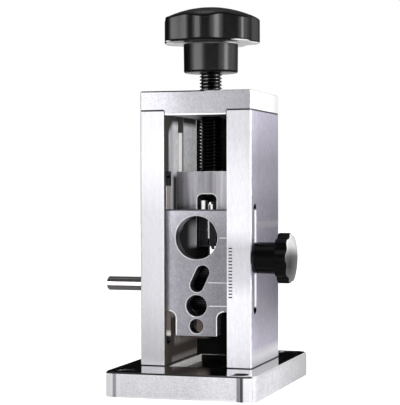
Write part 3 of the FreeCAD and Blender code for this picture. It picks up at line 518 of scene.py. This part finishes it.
            patch(0.03, "-Y+Z"),
            patch(0.98, "+X+Z", x=(37.0, 40.0), rough=0.4),
            # the chip channel is left as the cutter made it, with painted shade in it and painted light on
            # its left wall
            patch((0.02, 0.019, 0.018), x=(-14.2, 14.2), y=(-28.8, 28.8), z=(8.0, 12.1), rough=0.35),
            patch((0.92, 0.90, 0.88), "+X", x=(-14.4, -13.6), y=(-28.8, 28.8), z=(8.0, 12.6), rough=0.5,
                  metal=0.0, grit=(700, 0.66, (1, 1, 1))),
            # painted shade in the mounting holes
            patch(0.015, z=(-1, 12.0), round=("XY", (29.15, 50.45), 4.9), mirrored="XY", rough=0.4),
        ]},
    "brightSteel": {
        "dark": (0.52, 0.51, 0.50), "light": (0.72, 0.71, 0.70), "stain": (0.60, 0.59, 0.58),
        "stretch": (0.5, 6, 6), "grainScale": 900, "roughness": (0.14, 0.24),
        "grainBump": 0.2, "speckBump": 0.1,
        "patches": [
            # painted light and shade on the flats of the hex end: dark above with a faint line, bright in the
            # middle, grey below
            patch((0.012, 0.011, 0.010), x=(-60.0, -29.0), z=(53.3, 57.0), rough=0.5, metal=0.3),
            patch((0.10, 0.095, 0.09), x=(-60.0, -29.0), z=(54.95, 55.25), soft=0.1),
            patch((0.045, 0.038, 0.040), x=(-60.0, -29.0), z=(48.0, 51.6), rough=0.5, metal=0.3),
            patch(1.0, x=(-60.0, -29.0), z=(51.6, 53.3), rough=0.3, metal=0.0),
        ]},
    "bladeSteel": {
        "dark": (0.62, 0.62, 0.63), "light": (0.80, 0.80, 0.81), "stain": (0.66, 0.66, 0.68),
        "stretch": (5, 5, 0.6), "grainScale": 900, "roughness": (0.12, 0.25),
        "grainBump": 0.15, "speckBump": 0.05},
    "darkSteel": {
        "dark": (0.008, 0.008, 0.009), "light": (0.030, 0.029, 0.032), "stain": (0.016, 0.015, 0.016),
        "stretch": (1, 1, 1), "grainScale": 900, "roughness": (0.30, 0.45),
        "grainBump": 0.2, "speckBump": 0.2, "edge": (0.3, 0.5, (0.25, 0.25, 0.26)),
        "patches": [
            # a painted glint on the holder, and painted shade on its slanted sides
            patch(0.50, "-Y", x=(-3.6, -1.7), y=(-7.0, -4.0), z=(90.0, 98.0), soft=0.3, metal=0.0),
            patch(0.006, "+X-Y", z=(66.0, 90.0)),
            # painted glints on the edges of the clamp
            patch(0.60, "-Y", x=(0.5, 1.5), y=(-7.0, -4.0), z=(94.6, 96.6), soft=0.25, metal=0.0),
            patch(0.60, "-Y", x=(1.3, 2.4), y=(-7.0, -4.0), z=(90.0, 94.9), soft=0.25, metal=0.0),
        ]},
    "blackScrew": {
        "dark": (0.012, 0.012, 0.013), "light": (0.035, 0.035, 0.037), "stain": (0.02, 0.02, 0.022),
        "stretch": (1, 1, 1), "grainScale": 1200, "roughness": (0.25, 0.40),
        "grainBump": 0.15, "speckBump": 0.15},
    "threadOxide": {
        "dark": (0.10, 0.10, 0.102), "light": (0.26, 0.26, 0.265), "stain": (0.08, 0.08, 0.082),
        "stretch": (1, 1, 1), "grainScale": 1200, "roughness": (0.16, 0.26),
        "grainBump": 0.1, "speckBump": 0.1, "groove": 0.08,
        "patches": [
            # painted shade on the thread inside the frame, and painted glints on its crests on two sides
            patch(0.012, z=(100.0, 141.0), rough=0.3),
            patch(1.0, x=(-5.5, -3.9), y=(-5.0, -2.0), z=(113.0, 137.0), repeat=("Z", 1.75, 0.45), metal=0.0),
            patch(1.0, x=(2.9, 3.8), y=(-5.6, -4.2), z=(113.0, 139.0), repeat=("Z", 1.75, 0.40), metal=0.0),
        ]},
    "bronze": {
        "dark": (0.42, 0.26, 0.12), "light": (0.62, 0.42, 0.22), "stain": (0.40, 0.28, 0.18),
        "stretch": (1, 1, 1), "grainScale": 700, "roughness": (0.30, 0.45),
        "grainBump": 0.2, "speckBump": 0.2},
    "brass": {
        "dark": (0.60, 0.42, 0.16), "light": (0.80, 0.62, 0.30), "stain": (0.62, 0.46, 0.22),
        "stretch": (1, 1, 1), "grainScale": 700, "roughness": (0.20, 0.35),
        "grainBump": 0.15, "speckBump": 0.1},
}

# seam dulls the rounded edges, and sideFade the walls that stand along an axis and turn away
mouldings = {
    "knobPlastic": {
        "dark": (0.0015, 0.0015, 0.0016), "light": (0.003, 0.003, 0.0032), "grainScale": 2600,
        "roughness": (0.20, 0.28), "bump": 0.15, "specular": 0.64,
        "seam": 0.06, "sideFade": ("Z", 0.42, 0.60),
        "patches": [
            # pale light under the sides and the back of the rim
            patch(0.62, "-Z", y=(-9.0, 40.0), z=(176.0, 186.0), soft=1.5),
            patch(0.62, "-Z", x=(17.0, 40.0), z=(176.0, 186.0), mirrored="X", soft=1.5),
        ]},
    "lockPlastic": {
        "dark": (0.0008, 0.0008, 0.0008), "light": (0.002, 0.002, 0.002), "grainScale": 2600,
        "roughness": (0.12, 0.17), "bump": 0.08, "specular": 0.035, "sideFade": ("X", 0.62, 0.85),
        "patches": [
            # the end face is grey, with painted light in its upper part and painted shade towards its front
            # edge
            patch((0.15, 0.15, 0.152), "+X", x=(47.9, 52.0), rough=0.5, grit=(420, 0.72, (1, 1, 1))),
            patch((0.50, 0.50, 0.51), "+X", x=(40.0, 60.0), z=(71.5, 90.0), soft=2.5),
            patch((0.03, 0.03, 0.031), "+X", x=(40.0, 60.0), round=("YZ", (-30.0, 65.0), 6.5), soft=5.5),
        ]},
    "guardPaint": {
        "dark": (0.001, 0.001, 0.001), "light": (0.003, 0.003, 0.003), "grainScale": 1600,
        "roughness": (0.45, 0.60), "bump": 0.3, "specular": 0.08,
        "patches": [
            # a lighter brown patch low on the inside
            patch((0.16, 0.13, 0.12), x=(-18.0, -10.0), y=(20.0, 30.0), z=(22.0, 31.5), soft=1.5),
        ]},
}
materials = {name: makeMetal(name, look) for name, look in finishesWithPaintedLight.items()}
materials.update({name: makeMoulded(name, look) for name, look in mouldings.items()})

nodeFinish = {
    "milled": ["left_upright", "right_upright"],
    "topPlate": ["top_plate"],
    "polished": ["base_plate"],
    "guidePlate": ["guide_plate"],
    "carriage": ["blade_carriage"],
    "brightSteel": ["drive_shaft", "swivel_pins", "lock_stud"],
    "bladeSteel": ["blade"],
    "darkSteel": ["feed_roller", "blade_holder", "blade_clamp", "roller_spacers"],
    "blackScrew": ["base_screws", "top_screws", "guard_screws", "roller_screws", "clamp_screws",
                   "holder_screws", "lock_washer"],
    "threadOxide": ["adjuster_screw"],
    "bronze": ["left_bushing", "right_bushing"],
    "brass": ["knob_insert", "lock_insert"],
    "knobPlastic": ["adjuster_knob"],
    "lockPlastic": ["lock_knob"],
    "guardPaint": ["rear_guard"],
}
for name, members in nodeFinish.items():
    for member in members:
        node = nodes[member]
        if not node.data.materials:
            node.data.materials.append(materials[name])
        for index in range(len(node.material_slots)):
            node.material_slots[index].material = materials[name]
print("finishes on the packed parts")


# the pieces with soft waves or a thread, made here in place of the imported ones
def meshPiece(name, points, faces, finish, body, smooth=True):
    mesh = bpy.data.meshes.new(name)
    mesh.from_pydata([Vector(point) * mm for point in points], [], faces)
    mesh.validate()
    piece = bpy.data.objects.new(name, mesh)
    scene.collection.objects.link(piece)
    mesh.materials.append(materials[finish])
    for polygon in mesh.polygons:
        polygon.use_smooth = smooth
    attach(piece, body)
    return piece


def lobeReach(turn, look):
    # distance from the axis to the side of the rim: round crests between round scallops
    wave = 0.5 - 0.5 * math.cos(look["lobes"] * (turn - look["firstLobe"]))
    return look["radius"] - look["scallopDepth"] * wave ** look["scallopSharpness"]


knobShape = {
    # rows of points up the hub, under the rim, up its side and in over the dome, as shares of the way
    "hubRows": (0.03, 0.5, 0.96), "underRows": (0.35, 0.7), "sideRows": (0.03, 0.5, 0.97),
    "domeRows": (0.93, 0.82, 0.68, 0.52, 0.36, 0.2, 0.08),
    "footSteps": 4, "lowSteps": 5, "highSteps": 6, "highTurn": 82,    # steps and degrees of the rounded edges
    "fillet": 0.6, "filletOut": 0.25, "filletDrop": 0.15,             # between the hub and the rim
}


def arcPoints(centre, radius, start, end, count):
    turns = [math.radians(start + (end - start) * i / count) for i in range(count + 1)]
    return [(centre[0] + radius * math.cos(turn), centre[1] + radius * math.sin(turn)) for turn in turns]


def knobProfile(reach, look):
    # the section of the knob at one turn: from the end of the hub out, up the rim and in over the dome
    hub, rimTop = look["hubLength"], look["hubLength"] + look["rimLength"]
    low, high, foot = look["lowEdge"], look["highEdge"], look["footEdge"]
    fillet = knobShape["fillet"]
    hubTop = look["hubRadius"]
    hubFoot = hubTop - look["hubTaper"]
    points = [(look["bore"], 0.0), (hubFoot - foot, 0.0)]
    seams = [len(points)]
    points += arcPoints((hubFoot - foot, foot), foot, -90, 0, knobShape["footSteps"])[1:]
    seams.append(len(points))
    for share in knobShape["hubRows"]:
        points.append((hubFoot + (hubTop - hubFoot) * share, foot + (hub - fillet - foot) * share))
    points += [(hubTop, hub - fillet), (hubTop + knobShape["filletOut"], hub - knobShape["filletDrop"]),
               (hubTop + fillet, hub)]
    inner = reach - low
    for share in knobShape["underRows"]:
        points.append((hubTop + fillet + (inner - hubTop - fillet) * share, hub))
    seams.append(len(points))
    points += arcPoints((inner, hub + low), low, -90, 0, knobShape["lowSteps"])
    seams.append(len(points))
    domeRadius = (look["radius"] ** 2 + look["domeHeight"] ** 2) / (2 * look["domeHeight"])
    domeCentre = rimTop + look["domeHeight"] - domeRadius

    def domeAt(r):
        return domeCentre + math.sqrt(domeRadius ** 2 - r ** 2)

    edgeRadius = reach - high
    top = domeAt(edgeRadius)
    points += [(reach, hub + low + (top - high - hub - low) * share) for share in knobShape["sideRows"]]
    seams.append(len(points))
    points += arcPoints((edgeRadius, top - high), high, 0, knobShape["highTurn"], knobShape["highSteps"])
    seams.append(len(points))
    for share in knobShape["domeRows"]:
        points.append((edgeRadius * share, domeAt(edgeRadius * share)))
    rounded = list(zip(seams[::2], seams[1::2]))
    dull = [any(first <= i < last for first, last in rounded) for i in range(len(points))]
    return points, dull


def makeKnob(name, look, finish, body):
    # a ring of sections round the axis, closed by one point on top of the dome
    around = look["lobes"] * look["stepsPerLobe"]
    profiles = [knobProfile(lobeReach(2 * math.pi * i / around, look), look) for i in range(around)]
    rings = [points for points, dull in profiles]
    points, faces = [], []
    for i, ring in enumerate(rings):
        turn = 2 * math.pi * i / around
        points += [(r * math.cos(turn), r * math.sin(turn), z) for r, z in ring]
    count = len(rings[0])
    for i in range(around):
        j = (i + 1) % around
        for k in range(count - 1):
            faces.append((i * count + k, j * count + k, j * count + k + 1, i * count + k + 1))
    points.append((0, 0, look["hubLength"] + look["rimLength"] + look["domeHeight"]))
    top = len(points) - 1
    faces += [(i * count + count - 1, ((i + 1) % around) * count + count - 1, top) for i in range(around)]
    foot = Vector(look["foot"])
    if look["axis"] == "X":
        placed = [foot + Vector((z, y, -x)) for x, y, z in points]
    else:
        placed = [foot + Vector(point) for point in points]
    knob = meshPiece(name, placed, faces, finish, body)
    seam = knob.data.attributes.new("seam", "FLOAT", "POINT")
    seam.data.foreach_set("value", [float(mark) for points, dull in profiles for mark in dull] + [0.0])
    return knob


topKnobLook = {
    "axis": "Z", "foot": (0, 0, 163.7),
    "lobes": 7, "stepsPerLobe": 24, "firstLobe": math.radians(-83.4),
    "radius": 25.8, "scallopDepth": 3.2, "scallopSharpness": 1.2,
    "hubRadius": 14.3, "hubTaper": 0.15, "hubLength": 15.4, "rimLength": 12.3, "domeHeight": 6.5,
    "lowEdge": 0.9, "highEdge": 0.9, "footEdge": 0.7, "bore": 6.2,
}
lockKnobLook = {
    "axis": "X", "foot": (30.45, -21.175, 68.0),
    "lobes": 9, "stepsPerLobe": 14, "firstLobe": math.radians(-94.4),
    "radius": 12.8, "scallopDepth": 1.3, "scallopSharpness": 1.3,
    "hubRadius": 8.0, "hubTaper": 0.1, "hubLength": 11.4, "rimLength": 6.3, "domeHeight": 2.3,
    "lowEdge": 0.8, "highEdge": 1.1, "footEdge": 0.5, "bore": 5.0,
}
topKnob = makeKnob("topKnob", topKnobLook, "knobPlastic", "adjuster")
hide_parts("adjuster_knob")
lockKnob = makeKnob("lockKnob", lockKnobLook, "lockPlastic", "lock")
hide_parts("lock_knob")
print("knobs moulded")

threadLook = {
    "low": 102.9, "high": 178.4, "radius": 5.9, "depth": 1.0, "pitch": 1.75,
    "start": 109.1, "finish": 177.2, "stepsPerTurn": 40, "crest": 0.14, "root": 0.16,
    "neckLow": 105.1, "neckHigh": 107.9, "neckRadius": 4.0, "bevel": 0.8,
}


def makeThread(look):
    # one helix of ridges, faded in and out over its first and last turn
    steps = look["stepsPerTurn"]
    pitch = look["pitch"]
    turns = (look["finish"] - look["start"]) / pitch - 1
    count = int(turns * steps)
    points, faces = [], []
    # across a ridge: two points in the groove and two on the crest, as shares of the pitch
    offsets = (-0.5, -0.5 + look["root"], -look["crest"] / 2, look["crest"] / 2)
    heights = (0, 0, 1, 1)
    across = len(offsets)
    rootRadius = look["radius"] - look["depth"]
    for i in range(count + steps):
        turn = 2 * math.pi * i / steps
        height = look["start"] + pitch * (i / steps) + pitch / 2
        fade = min(1.0, i / steps, max(0.0, (count - i) / steps))
        for offset, high in zip(offsets, heights):
            r = rootRadius + look["depth"] * high * fade
            z = min(height + offset * pitch, look["finish"])
            points.append((r * math.cos(turn), r * math.sin(turn), z))
    for i in range(count + steps - 1):
        a, b = across * i, across * (i + 1)
        faces += [(a + k, b + k, b + k + 1, a + k + 1) for k in range(across - 1)]
        if i + steps + 1 < count + steps:
            # from this crest to the groove one turn further up
            faces.append((a + across - 1, b + across - 1, b + across * steps, a + across * steps))
    # plain ends, with the neck that the carriage holds
    ends = [[(0, look["low"]), (look["radius"] - look["bevel"], look["low"]),
             (look["radius"], look["low"] + look["bevel"]), (look["radius"], look["neckLow"]),
             (look["neckRadius"], look["neckLow"]), (look["neckRadius"], look["neckHigh"]),
             (rootRadius, look["neckHigh"]), (rootRadius, look["start"] + pitch)],
            [(rootRadius, look["finish"] - pitch), (rootRadius, look["high"]), (0, look["high"])]]
    for outline in ends:
        first = len(points)
        for i in range(steps):
            turn = 2 * math.pi * i / steps
            points += [(r * math.cos(turn), r * math.sin(turn), z) for r, z in outline]
        size = len(outline)
        for i in range(steps):
            j = (i + 1) % steps
            faces += [(first + i * size + k, first + j * size + k, first + j * size + k + 1,
                       first + i * size + k + 1) for k in range(size - 1)]
    piece = meshPiece("adjusterThread", points, faces, "threadOxide", "adjuster", smooth=False)
    ridges = across * (count + steps)
    # marks the roots of the ridges for their painted shade
    groove = piece.data.attributes.new("groove", "FLOAT", "POINT")
    low = [float(i < ridges and not heights[i % across]) for i in range(len(points))]
    groove.data.foreach_set("value", low)
    return piece


thread = makeThread(threadLook)
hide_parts("adjuster_screw")
print("thread cut")

# the studio
studio = {
    "floorSize": 6.0, "floorColour": (0.80, 0.80, 0.81), "floorRoughness": 0.85, "floorDrop": 0.0002,
    "aimHeight": 0.08,                 # where the softboxes point
    "floorGlow": (0.0, 0.52, 0.25),    # to diffuse, camera and mirror rays
    "worldGlow": (0.70, 1.0, 1.0),
    "softboxes": {
        "frontLeft": {"azimuth": -42, "elevation": 6, "distance": 1.2, "size": (0.9, 0.55), "power": 4.3},
        "frontRight": {"azimuth": 84, "elevation": 6, "distance": 1.1, "size": (0.3, 0.6), "power": 3.0},
        "overhead": {"azimuth": 10, "elevation": 78, "distance": 1.2, "size": (0.8, 0.6), "power": 2.4},
        "innerFill": {"azimuth": 17, "elevation": 4, "distance": 1.2, "size": (0.2, 0.2), "power": 21.0,
                      "dullOnly": True},    # for the dull faces between the uprights
    },
    # cards that only polished surfaces see: most of them dark, one bright
    "cards": {
        "lowCard": {"azimuth": 192, "distance": 0.34, "height": 0.055, "size": (0.34, 0.09), "glow": 0.004},
        "sideCard": {"azimuth": 158, "distance": 0.36, "height": 0.050, "size": (0.15, 0.07), "glow": 0.05},
        "frontCard": {"azimuth": 20, "distance": 1.6, "height": 0.70, "size": (1.90, 1.9), "glow": 0.02},
        "hoodCard": {"azimuth": -15, "distance": 1.7, "height": 1.30, "size": (4.2, 1.9), "glow": 0.03},
        "leftCard": {"azimuth": -112, "distance": 1.0, "height": 0.30, "size": (1.4, 1.0), "glow": 0.02},
        "rightCard": {"azimuth": 147, "distance": 1.0, "height": 0.25, "size": (1.0, 0.9), "glow": 0.78},
        "backCard": {"azimuth": 197, "distance": 1.2, "height": 0.75, "size": (1.5, 1.1), "glow": 0.05},
    },
}


def makeSoftbox(name, look):
    lamp = bpy.data.lights.new(name, "AREA")
    lamp.shape = "RECTANGLE"
    lamp.size, lamp.size_y = look["size"]
    lamp.energy = look["power"]
    box = bpy.data.objects.new(name, lamp)
    scene.collection.objects.link(box)
    a, e = math.radians(look["azimuth"]), math.radians(look["elevation"])
    back = Vector((math.sin(a) * math.cos(e), -math.cos(a) * math.cos(e), math.sin(e)))
    box.location = Vector((0, 0, studio["aimHeight"])) + back * look["distance"]
    box.rotation_euler = (-back).to_track_quat("-Z", "Y").to_euler()
    if look.get("dullOnly"):
        box.visible_glossy = False


def flatSheet(name, width, depth, materialName, tone, roughness):
    # one flat face that can glow white
    x, y = width / 2, depth / 2
    mesh = bpy.data.meshes.new(name)
    mesh.from_pydata([(-x, -y, 0), (x, -y, 0), (x, y, 0), (-x, y, 0)], [], [(0, 1, 2, 3)])
    sheet = bpy.data.objects.new(name, mesh)
    scene.collection.objects.link(sheet)
    material, tree, shader = newMaterial(materialName)
    shader.inputs["Base Color"].default_value = colour(tone)
    shader.inputs["Roughness"].default_value = roughness
    shader.inputs["Emission Color"].default_value = grey(1.0)
    mesh.materials.append(material)
    return sheet, shader


def makeCard(name, look):
    card, shader = flatSheet(name, *look["size"], name, (0, 0, 0), 1.0)
    shader.inputs["Specular IOR Level"].default_value = 0.0
    shader.inputs["Emission Strength"].default_value = look["glow"]
    turn = math.radians(look["azimuth"])
    card.location = (math.sin(turn) * look["distance"], -math.cos(turn) * look["distance"], look["height"])
    card.rotation_euler = (math.radians(90), 0, turn)
    card.visible_camera = False
    card.visible_diffuse = False
    card.visible_shadow = False
    card.visible_transmission = False


def whiteToCamera(tree, look):
    # how much of the plain white is seen by diffuse, camera and mirror rays
    path = addNode(tree, "LightPath")
    toDiffuse, toCamera, toMirror = look
    mirror = madeOf(tree, "MAXIMUM", path.outputs["Is Glossy Ray"], path.outputs["Is Transmission Ray"])
    plain = spread(tree, path.outputs["Is Camera Ray"], 0, 1, toDiffuse, toCamera)
    return blendValues(tree, mirror, plain, toMirror)


def makeWorld():
    world = bpy.data.worlds.new("paleStudio")
    scene.world = world
    world.use_nodes = True
    tree = world.node_tree
    back = tree.nodes["Background"]
    back.inputs["Color"].default_value = grey(1.0)
    tree.links.new(whiteToCamera(tree, studio["worldGlow"]), back.inputs["Strength"])


def makeFloor():
    # a hair below the base, so the two faces don't fight
    size, tone = studio["floorSize"], studio["floorColour"]
    floor, shader = flatSheet("floor", size, size, "paleFloor", tone, studio["floorRoughness"])
    floor.location.z = -studio["floorDrop"]
    tree = shader.id_data
    tree.links.new(whiteToCamera(tree, studio["floorGlow"]), shader.inputs["Emission Strength"])


makeWorld()
makeFloor()
for name, look in studio["softboxes"].items():
    makeSoftbox(name, look)
for name, look in studio["cards"].items():
    makeCard(name, look)
scene.view_settings.view_transform = "Standard"
print("studio lit")
